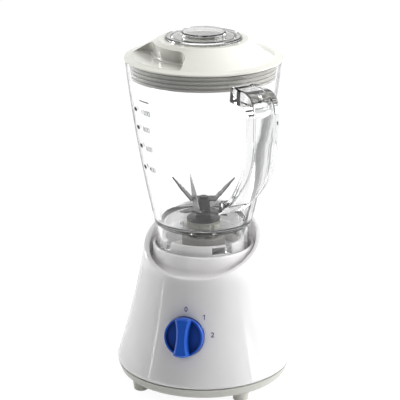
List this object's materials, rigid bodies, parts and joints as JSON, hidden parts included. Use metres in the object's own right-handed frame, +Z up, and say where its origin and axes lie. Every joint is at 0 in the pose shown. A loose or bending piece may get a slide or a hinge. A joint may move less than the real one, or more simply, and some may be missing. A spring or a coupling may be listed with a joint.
{
  "type": "countertop blender",
  "caption": "Countertop blender with a bell-shaped motor base and turn knob, clear handled jug, steel blade set, lid and clear measuring cap.",
  "frame": {"origin": "on the worktop under the motor axis", "axes": "+Z up along the motor axis; the knob faces -Y; the handle stands towards +X and -Y"},
  "size_m": [0.1699, 0.172, 0.3426],
  "materials": {
    "white_plastic": "gloss moulded white",
    "grey_plastic": "fine matt light grey",
    "foot_rubber": "pale grey rubber",
    "blue_plastic": "satin gloss blue",
    "clear_plastic": "clear polished",
    "seal_rubber": "soft beige grey silicone",
    "nut_plastic": "beige grey",
    "black_rubber": "matt black",
    "blade_steel": "brushed stainless steel",
    "dark_plastic": "matt dark grey",
    "machine_steel": "machined",
    "lamination_steel": "stacked sheets under varnish",
    "copper": "enamelled copper",
    "die_cast": "as cast",
    "bronze": "sintered bronze",
    "carbon": "pressed carbon"
  },
  "bodies": {
    "base": {"base_housing": "white_plastic", "base_plate": "grey_plastic", "rubber_feet": "foot_rubber", "base_screws": "machine_steel", "cord_gland": "grey_plastic", "rotary_switch": "dark_plastic", "switch_nut": "machine_steel", "stator_stack": "lamination_steel", "field_coils": "copper", "upper_bearing_bracket": "die_cast", "lower_bearing_bracket": "die_cast", "motor_bearings": "bronze", "motor_bolts": "machine_steel", "motor_mounts": "black_rubber", "mount_screws": "machine_steel", "brush_holders": "dark_plastic", "carbon_brushes": "carbon", "brush_springs": "machine_steel", "shaft_seal": "black_rubber"},
    "rotor": {"motor_shaft": "machine_steel", "armature_core": "lamination_steel", "armature_windings": "copper", "commutator": "copper", "cooling_fan": "dark_plastic", "drive_coupling": "dark_plastic"},
    "knob": {"speed_knob": "blue_plastic", "switch_shaft": "machine_steel"},
    "jug": {"jug": "clear_plastic", "blade_carrier": "blade_steel", "carrier_gasket": "seal_rubber", "carrier_lock_nut": "nut_plastic", "blade_bushes": "bronze", "blade_shaft_seal": "black_rubber"},
    "blades": {"blade_shaft": "blade_steel", "blade_spacer": "blade_steel", "blade_cap_nut": "blade_steel", "upper_blade": "blade_steel", "cross_blade": "blade_steel", "lower_blade": "blade_steel", "driven_coupling": "dark_plastic"},
    "lid": {"lid": "white_plastic", "lid_seal": "seal_rubber"},
    "cap": {"measuring_cap": "clear_plastic"}
  },
  "joints": [
    {"name": "knob_turn", "type": "hinge", "parent": "base", "child": "knob", "pos_m": [0, -0.07066, 0.0677], "axis": [0, 0.9686, -0.2488], "range_deg": [0, 90]},
    {"name": "rotor_spin", "type": "hinge", "parent": "base", "child": "rotor", "pos_m": [0, 0, 0.08], "axis": [0, 0, 1], "continuous": true},
    {"name": "jug_lift", "type": "slide", "parent": "base", "child": "jug", "axis": [0, 0, 1], "range_m": [0, 0.08]},
    {"name": "blade_spin", "type": "hinge", "parent": "jug", "child": "blades", "pos_m": [0, 0, 0.16], "axis": [0, 0, 1], "continuous": true},
    {"name": "lid_lift", "type": "slide", "parent": "jug", "child": "lid", "axis": [0, 0, 1], "range_m": [0, 0.08]},
    {"name": "cap_lift", "type": "slide", "parent": "lid", "child": "cap", "axis": [0, 0, 1], "range_m": [0, 0.08]}
  ],
  "couplings": [
    {"joint": "blade_spin", "follows": "rotor_spin", "ratio": 1}
  ]
}
